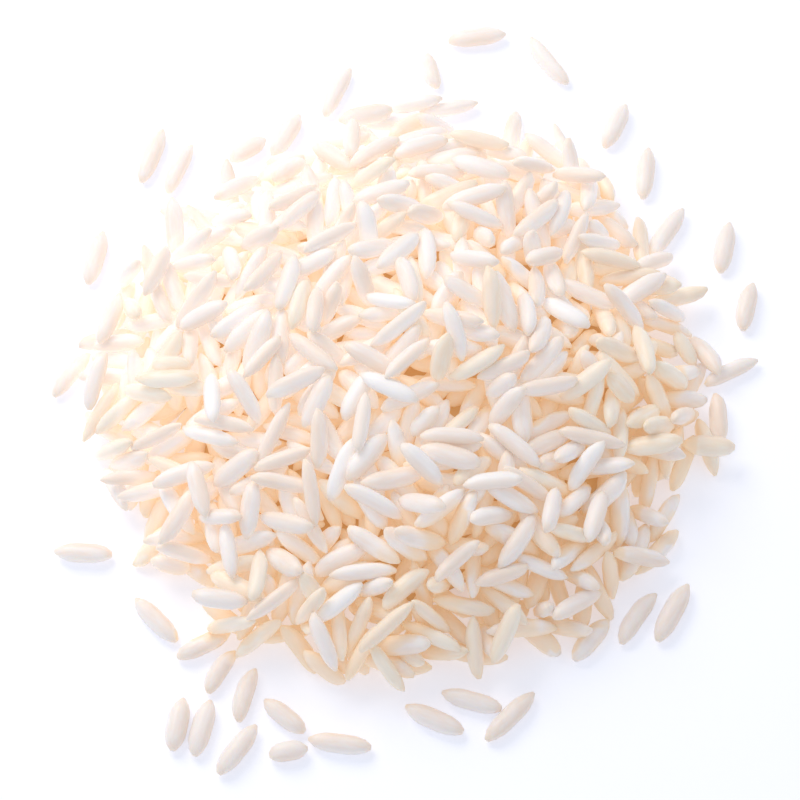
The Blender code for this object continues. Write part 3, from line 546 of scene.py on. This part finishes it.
4 103 103 -99 32 194 -58 -180 6  1 99 95 -50 -154 195 33 1 81  0 94 100 -292 49 195 30 2 -107
5 105 102 183 306 195 -99 -55 -67  3 99 98 271 -284 195 -82 -148 -25  4 94 105 65 -358 196 15 38 -44
5 93 105 -22 18 197 87 -3 -147  2 96 102 -2 102 197 1 2 158  1 95 96 -78 335 197 -70 24 -136
5 93 93 -235 396 197 109 -6 -151  1 94 103 -502 -38 197 -14 -5 0  5 101 99 298 177 198 136 -24 -90
3 98 103 16 -156 199 -11 32 -106  2 103 96 -2 -278 199 -14 -12 131  2 95 95 132 -362 199 -35 -30 62
0 97 97 210 143 200 39 17 144  2 102 94 -149 -69 200 1 -10 -39  4 98 102 -263 181 200 -31 -15 -28
2 99 105 -352 99 200 -58 1 -145  2 95 94 81 -5 201 4 4 0  4 99 94 -32 322 201 42 33 -154
3 97 101 47 -71 202 3 -7 147  0 104 97 -2 -211 202 -18 38 -73  0 93 102 56 355 202 -81 -128 23
3 97 103 -325 214 202 -82 -19 59  5 98 103 188 -358 202 167 40 29  4 98 104 322 -344 202 -78 -16 -101
0 94 96 -145 227 203 84 9 -111  3 93 103 -67 -262 203 17 11 -67  2 102 97 -212 99 203 17 -37 -48
1 103 95 -271 -170 203 67 21 -119  1 103 97 163 399 203 -19 7 -164  4 100 96 154 -254 204 19 -25 -134
2 99 102 358 117 204 -10 -18 -39  5 104 104 232 -316 204 22 -173 -32  2 102 92 -64 455 204 -32 -43 15
2 100 95 313 -24 205 -6 -3 -135  4 101 98 49 151 206 93 21 134  3 94 104 -249 -229 206 72 11 -164
5 95 95 106 184 207 -25 4 108  4 102 96 -64 -332 207 9 16 -58  1 99 96 -188 -307 207 67 -21 99
1 99 94 78 -239 208 -55 176 6  5 104 99 165 352 208 -66 22 -15  2 98 102 70 -154 209 -2 170 60
1 96 103 42 -414 209 -21 -142 3  5 101 95 -79 103 210 33 7 153  1 96 94 57 201 210 -20 23 136
0 98 102 -154 -176 211 55 3 -62  1 94 93 -118 193 211 78 -9 -101  6 97 97 -224 -9 211 -113 24 54
0 104 102 187 194 212 -12 -20 -43  2 98 104 -330 68 212 -158 -15 40  0 94 102 -87 -69 213 1 11 130
6 97 92 133 -204 213 -88 166 0  1 100 97 -229 354 213 -3 0 42  1 96 102 138 105 214 -11 -4 -110
0 102 101 259 -121 215 -7 7 -85  2 104 103 -21 166 215 25 171 -32  2 104 97 -403 -90 215 -57 19 95
3 104 103 196 -53 216 -78 16 -79  1 93 94 121 -156 217 -50 8 46  5 93 93 -211 -44 217 -79 -9 48
2 97 95 -35 226 217 22 -162 25  0 99 101 401 -50 217 11 158 33  3 94 98 100 -58 218 32 -13 -177
0 98 96 0 371 218 -126 43 11  2 98 93 164 24 219 -31 -4 -108  1 97 98 246 -201 220 7 -9 141
0 103 94 -124 -259 221 -33 20 -112  2 98 95 -267 -62 221 83 21 -91  4 93 99 -303 291 221 -45 134 5
4 103 99 251 44 222 -12 -11 163  5 102 98 -141 68 222 20 14 -155  4 101 103 -192 227 222 29 159 19
3 98 99 -331 -88 222 -37 -23 123  5 94 97 -32 -152 223 38 13 50  1 100 101 135 221 223 8 -9 -88
5 96 103 -70 308 223 -6 -36 98  0 96 94 -42 399 223 166 -2 19  3 94 101 -180 -77 224 24 18 -130
1 97 104 -36 -55 225 14 1 146  1 104 98 34 50 226 52 -4 72  2 104 95 246 -22 226 65 -24 66
2 99 99 -256 52 226 41 1 -91  3 96 96 -295 201 226 55 9 52  4 95 100 -155 17 229 55 25 -33
2 103 98 -152 287 229 90 -7 -149  0 100 93 -307 36 231 10 -19 68  4 103 93 101 0 232 8 -14 -83
2 101 98 -72 13 232 148 9 34  2 102 98 86 -353 232 -55 -6 -139  4 94 100 -151 122 233 115 -50 59
1 101 102 59 246 233 -21 16 92  3 96 100 -149 187 234 13 13 -130  1 101 97 306 -12 235 4 4 51
1 98 103 -15 -288 235 28 10 16  3 99 101 315 -75 238 65 7 13  0 100 100 -60 255 238 11 -148 28
2 101 93 31 176 239 -83 16 100  5 96 99 226 -119 239 -18 45 -143  5 97 99 196 -293 239 153 -3 5
6 98 97 53 -155 240 13 15 -136  5 97 101 -171 -196 240 130 24 -91  5 93 98 -32 98 241 -29 18 19
0 98 96 66 42 241 6 11 66  3 95 102 303 45 241 11 28 72  3 103 102 -54 -340 241 -53 -19 156
0 96 102 -71 -238 242 -22 -1 -128  1 95 98 -242 170 242 -15 -178 75  0 96 98 -218 118 243 -116 10 76
2 96 100 -80 171 243 62 47 -65  5 94 100 174 166 244 33 6 -88  5 94 98 275 96 246 -39 18 96
4 96 101 -93 -99 247 29 15 -121  4 104 97 -4 243 247 30 7 45  0 97 103 107 -241 247 28 0 -16
4 97 94 -296 -9 248 128 -8 48  5 105 104 174 69 249 -12 5 123  3 99 97 111 -193 249 3 -2 178
1 94 95 21 -100 250 0 2 -155  4 102 102 -177 -114 250 -13 -17 63  1 96 98 -186 -3 252 -50 170 -43
5 98 94 4 8 254 -3 -38 36  6 96 94 216 -80 255 30 -38 22  4 102 99 48 -262 255 15 -31 142
0 104 102 224 117 256 13 -176 -74  4 98 103 100 137 256 -133 0 60  5 95 103 223 -38 259 81 -11 23
2 103 102 -223 -73 260 -53 167 21  2 94 101 -183 97 262 90 -15 -95  0 99 101 -58 -21 262 16 -18 155
3 103 95 21 88 263 -1 -7 -58  2 104 98 44 -355 263 12 -40 -29  3 100 103 -81 -171 264 102 0 -98
0 97 96 108 4 265 -176 10 4  1 98 101 154 41 272 13 -30 -30  5 104 101 167 -37 276 37 167 29
3 94 105 17 161 277 -28 12 104  2 101 94 160 209 279 -66 32 155  4 97 92 143 130 279 16 -162 -27
5 101 92 -23 108 280 44 150 -25  1 105 92 -2 49 283 64 -26 31  0 99 97 -24 -96 284 -28 0 -26
4 96 98 89 -29 290 -18 50 -108  1 100 98 115 61 291 -59 158 -20  2 103 105 197 111 291 60 -16 93
3 96 96 13 -34 295 138 3 44  5 100 100 119 22 311 -59 -28 109
"""

poured = []
for numbers in np.array(RESTING_KERNELS.split(), float).reshape(-1, 9):
    shape, length_share, girth_share = int(numbers[0]), numbers[1] / 100, numbers[2] / 100
    middle = Vector(numbers[3:6]) * PLACE_UNIT
    turn = Euler(np.radians(numbers[6:9])).to_matrix().to_4x4()
    at_rest = Matrix.Translation(middle) @ turn
    stretch = (length_share, girth_share, girth_share)
    poured.append(lay_kernel(kernel_models[shape], f"poured_{len(poured):03d}", at_rest, stretch))
for model in kernel_models:
    model.hide_render = True
bpy.context.view_layer.update()


# Rice kernels, milled and polished
# The look of the kernels: starch, dense and slightly glassy, so light goes a millimetre into it and comes
# back warm. Some are chalky, with air between the starch grains, and look pure white; some have aged to cream.
# Widths of the streaks, chalk flecks and milling scratches in the starch, in millimetres, and how many times
# longer along the kernel they are
STREAK_WIDTH = 0.4
CHALK_SIZE = 1.6
SCRATCH_WIDTH = 0.12
LENGTHWISE = 4
SCRATCH_DEPTH = 0.05 * MM
# How far light spreads in the starch
LIGHT_SPREAD = 0.9 * MM


def mix_colours(tree, share, first, second):
    """The colour that lies this share of the way from the first to the second."""
    mix = add_node(tree, "ShaderNodeMix", {"data_type": "RGBA"}, Factor=share, _6=first, _7=second)
    return mix.outputs[2]


def fade(tree, value, start, end, most):
    """Nothing where the value is at the start, and this much, softly reached, where it is at the end."""
    soft = {"interpolation_type": "SMOOTHSTEP"}
    ramp = add_node(tree, "ShaderNodeMapRange", soft, Value=value, _1=start, _2=end, _3=0.0, _4=most)
    return ramp.outputs[0]


def rice_with_painted_shade_and_glow(name, pale, warm, chalk, chalk_share, roughness, glassiness):
    """Polished rice: pale and warm are the starch's two tones, chalk its white flecks; painted shade and
    painted glow follow each kernel's depth and its light.
    """
    material, tree, shader = new_material(
        name,
        Roughness=roughness,
        Subsurface_Weight=glassiness,
        Subsurface_Radius=(1.0, 0.8, 0.58),
        Subsurface_Scale=LIGHT_SPREAD,
        Specular_IOR_Level=0.45,
        IOR=1.5,
    )
    attribute = {}
    for key in ("place", "along", "across", "tone", "depth", "painted_glow_strength"):
        attribute[key] = add_node(tree, "ShaderNodeAttribute", {"attribute_name": key}).outputs
    lengthwise = add_node(
        tree, "ShaderNodeMapping", Vector=attribute["place"]["Vector"], Scale=(1 / LENGTHWISE, 1, 1)
    ).outputs["Vector"]

    def noise(width, detail):
        """Soft streaks of this width that run along the kernel."""
        return add_node(
            tree, "ShaderNodeTexNoise", Vector=lengthwise, Scale=1 / width, Detail=detail
        ).outputs["Fac"]

    body = mix_colours(tree, attribute["tone"]["Fac"], linear(pale), linear(warm))
    streaks = noise(STREAK_WIDTH, 2.0)
    streaked = add_node(tree, "ShaderNodeMapRange", Value=streaks, _1=0.40, _2=0.65, _3=0.0, _4=0.5)
    body = mix_colours(tree, streaked.outputs[0], body, linear(chalk))
    flecks = fade(tree, noise(CHALK_SIZE, 1.0), 0.62 - 0.3 * chalk_share, 0.72, 0.85)
    body = mix_colours(tree, flecks, body, linear(chalk))
    # The belly side is chalkier; the back and the ends are painted warmer, a painted translucency for light
    # that comes through the thinner edges
    belly = fade(tree, attribute["across"]["Fac"], -0.1, -0.8, 0.55)
    body = mix_colours(tree, belly, body, linear(chalk))
    painted_back_glow = fade(tree, attribute["across"]["Fac"], 0.2, 0.9, 0.5)
    body = mix_colours(tree, painted_back_glow, body, linear("#F3DFCC"))
    outward = add_node(tree, "ShaderNodeMath", {"operation": "ABSOLUTE"}, _0=attribute["along"]["Fac"])
    painted_tip_glow = fade(tree, outward.outputs[0], 0.7, 1.0, 0.4)
    body = mix_colours(tree, painted_tip_glow, body, linear("#F4DDC4"))
    # Painted shade and painted glow: down between the kernels the colour turns a darker warm, and every kernel
    # glows
    #     # by emission, warmer in depth, for the light that has come through others
    painted_shade_and_glow_mask = fade(tree, attribute["depth"]["Fac"], 0.4, 1.0, 0.8)
    body = mix_colours(tree, painted_shade_and_glow_mask, body, linear("#F3DFC6"))
    tree.links.new(body, shader.inputs["Base Color"])
    painted_glow_colour = mix_colours(tree, painted_shade_and_glow_mask, linear("#F8EEE6"), linear("#EAC696"))
    tree.links.new(painted_glow_colour, shader.inputs["Emission Color"])
    tree.links.new(attribute["painted_glow_strength"]["Fac"], shader.inputs["Emission Strength"])
    scratches = noise(SCRATCH_WIDTH, 2.0)
    relief = add_node(tree, "ShaderNodeBump", Height=scratches, Strength=0.5, Distance=SCRATCH_DEPTH)
    tree.links.new(relief.outputs["Normal"], shader.inputs["Normal"])
    return material


kinds = {
    # Ordinary kernels: clear starch with a pearly cast
    "pearly": rice_with_painted_shade_and_glow("pearly_polished_rice", "#F4ECE7", "#F4E6DB", "#F6F2F0", 0.2, 0.36, 0.35),
    # Kernels that have aged or kept some bran
    "cream": rice_with_painted_shade_and_glow("cream_polished_rice", "#F5E9D9", "#F4E3CB", "#F6EFE3", 0.1, 0.34, 0.35),
    # Chalky kernels: air between the starch grains, so no light gets far into them
    "chalky": rice_with_painted_shade_and_glow("chalky_polished_rice", "#F8F5F4", "#F6F1EE", "#FAF9F9", 0.9, 0.48, 0.15),
}


# The kernels as pieces
# Each kind of kernel in the heap becomes one piece at its true size, and so do the strays.
# Every kernel carries its own tone, its own place in the streaks and flecks, how deep it lies under others,
# # which sets its painted shade, and the strength of its painted glow, for the light its neighbours pass on to
# it.
CREAM_SHARE = 0.08
CHALKY_SHARE = 0.04
# Where cream kernels lie together: (x, y, reach in millimetres), with the share of them there
CREAM_PATCHES = ((27, -1, 9), (26, 13, 6), (-12, -27, 8), (3, -33, 9), (-29, -1, 7))
PATCH_SHARE = 0.55
# Where a chalky kernel catches the eye near the top of the heap: (x, y) in millimetres
CHALKY_PLACES = ((-4, -12), (1, 5), (-10, -28), (10, -21), (13, -13), (3, -10), (-20, -8), (18, 8), (-9, 15))
CHALKY_REACH = 4
# Depth is measured down from a height field over the heap, in cells of this size, in millimetres. It counts
# # from SURFACE_DEPTH to FULL_DEPTH, and what it adds to the painted glow is whole at DIM_SHARE of that
FIELD_CELL = 1.2
FIELD_CELLS = 90
SURFACE_DEPTH = 1.2
FULL_DEPTH = 5.4
DIM_SHARE = 0.6
# Painted light: the painted glow is stronger towards the lit side, and the painted shade in depth is weaker
# there;
# # along this way the glow changes by its mean over this many millimetres, within these limits
LIT_WAY = (-0.62, 0.78)
HALF_LIT = 58
LEAST_LIT = 0.3
MOST_LIT = 1.45
# Painted glow, given as emission for light passed on from kernel to kernel: at the surface, and what the depth
# adds
PAINTED_GLOW_AT_SURFACE = 0.1
PAINTED_GLOW_IN_DEPTH = 0.13
# Each kernel has its own place in the streaks and flecks, up to this far off, in millimetres
STREAK_SHIFT = 100


def field_cell(corners):
    """The cell of the height field that each corner lies over."""
    return np.clip((corners[:, :2] / FIELD_CELL + FIELD_CELLS / 2).astype(int), 0, FIELD_CELLS - 1)


def mesh_corners(kernel):
    """Where the corners of a kernel lie, in millimetres."""
    return np.array([kernel.matrix_world @ vertex.co for vertex in kernel.data.vertices])


def join_kernels(kernels, name, kind):
    """Joins kernels into one piece, at true size, with its place in its mesh."""
    for kernel in kernels:
        mesh = kernel.data
        corners = mesh_corners(kernel)
        over = surface[tuple(field_cell(corners).T)] - corners[:, 2]
        depth = np.clip((over - SURFACE_DEPTH) / (FULL_DEPTH - SURFACE_DEPTH), 0, 1).astype(np.float32)
        lit = np.clip(1 + (corners[:, :2] @ LIT_WAY) / HALF_LIT, LEAST_LIT, MOST_LIT)
        dim = np.clip(depth / DIM_SHARE, 0, 1)
        local = np.array([vertex.co for vertex in mesh.vertices], np.float32)
        place = local + draw.uniform(-STREAK_SHIFT, STREAK_SHIFT)
        mesh.attributes.new("place", "FLOAT_VECTOR", "POINT").data.foreach_set("vector", place.ravel())
        # Painted light: the glow strength is a painted glow, stronger towards the lit side and in depth, and
        # the depth kept for the colour, cut down towards the lit side, sets the painted shade
        values = {
            "painted_glow_strength": PAINTED_GLOW_AT_SURFACE * lit + PAINTED_GLOW_IN_DEPTH * dim * np.sqrt(lit),
            "tone": np.full(len(corners), draw.random()),
            "depth": np.clip(depth / lit, 0, 1),
        }
        for key, value in values.items():
            mesh.attributes.new(key, "FLOAT", "POINT").data.foreach_set("value", value.astype(np.float32))
        mesh.transform(Matrix.Scale(MM, 4) @ kernel.matrix_world)
        kernel.matrix_world = Matrix.Identity(4)
        mesh.materials.append(kinds[kind])
    bpy.ops.object.select_all(action="DESELECT")
    for kernel in kernels:
        kernel.select_set(True)
    bpy.context.view_layer.objects.active = kernels[0]
    bpy.ops.object.join()
    piece = bpy.context.object
    piece.name = name
    piece.data.name = name
    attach(piece, "root")
    return piece


surface = np.zeros((FIELD_CELLS, FIELD_CELLS))
for kernel in poured:
    corners = mesh_corners(kernel)
    np.maximum.at(surface, tuple(field_cell(corners).T), corners[:, 2])
# Each cell takes the height of the highest one beside it, so that the gaps between kernels count as deep
surface = np.pad(surface, 1)
neighbours = [np.roll(surface, (i, j), (0, 1)) for i in (-1, 0, 1) for j in (-1, 0, 1)]
surface = np.max(neighbours, axis=0)[1:-1, 1:-1]

draw = random.Random(3)
sorted_out = {kind: [] for kind in kinds}
middles = [kernel.matrix_world.translation for kernel in poured]
eye_catching = set()
for x, y in CHALKY_PLACES:
    near = [i for i, middle in enumerate(middles) if math.hypot(middle.x - x, middle.y - y) < CHALKY_REACH]
    eye_catching.add(max(near, key=lambda i: middles[i].z))
for index, (kernel, middle) in enumerate(zip(poured, middles)):
    in_patch = any(math.hypot(middle.x - x, middle.y - y) < reach for x, y, reach in CREAM_PATCHES)
    cream_share = PATCH_SHARE if in_patch else CREAM_SHARE
    lot = draw.random()
    kind = "cream" if lot < cream_share else "chalky" if lot > 1 - CHALKY_SHARE else "pearly"
    sorted_out["chalky" if index in eye_catching else kind].append(kernel)
for kind, kernels in sorted_out.items():
    piece = join_kernels(kernels, f"heap_kernels_{kind}", kind)
    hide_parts("rice_heap")
stray_piece = join_kernels(strays, "stray_kernels", "pearly")
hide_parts(*stray_nodes)
for model in kernel_models:
    bpy.data.objects.remove(model)


# The light
# A wide soft window of light from the far left and high up, and bright white all round, as on a light table.
KEY_PLACE = Vector((-0.14, 0.18, 0.22))
KEY_SIZE = 0.22

bpy.ops.object.select_all(action="DESELECT")
bpy.ops.object.light_add(
    type="AREA", location=KEY_PLACE, rotation=KEY_PLACE.to_track_quat("Z", "Y").to_euler()
)
key = bpy.context.object
key.data.shape = "DISK"
key.data.size = KEY_SIZE
key.data.energy = 0.42
key.data.color = linear("#FFF4E6")[:3]
white_all_round = bpy.data.worlds.new("white_all_round")
white_all_round.use_nodes = True
background = white_all_round.node_tree.nodes["Background"]
background.inputs["Color"].default_value = linear("#F2F6FF")
background.inputs["Strength"].default_value = 0.72
bpy.context.scene.world = white_all_round
bpy.context.scene.view_settings.view_transform = "Standard"
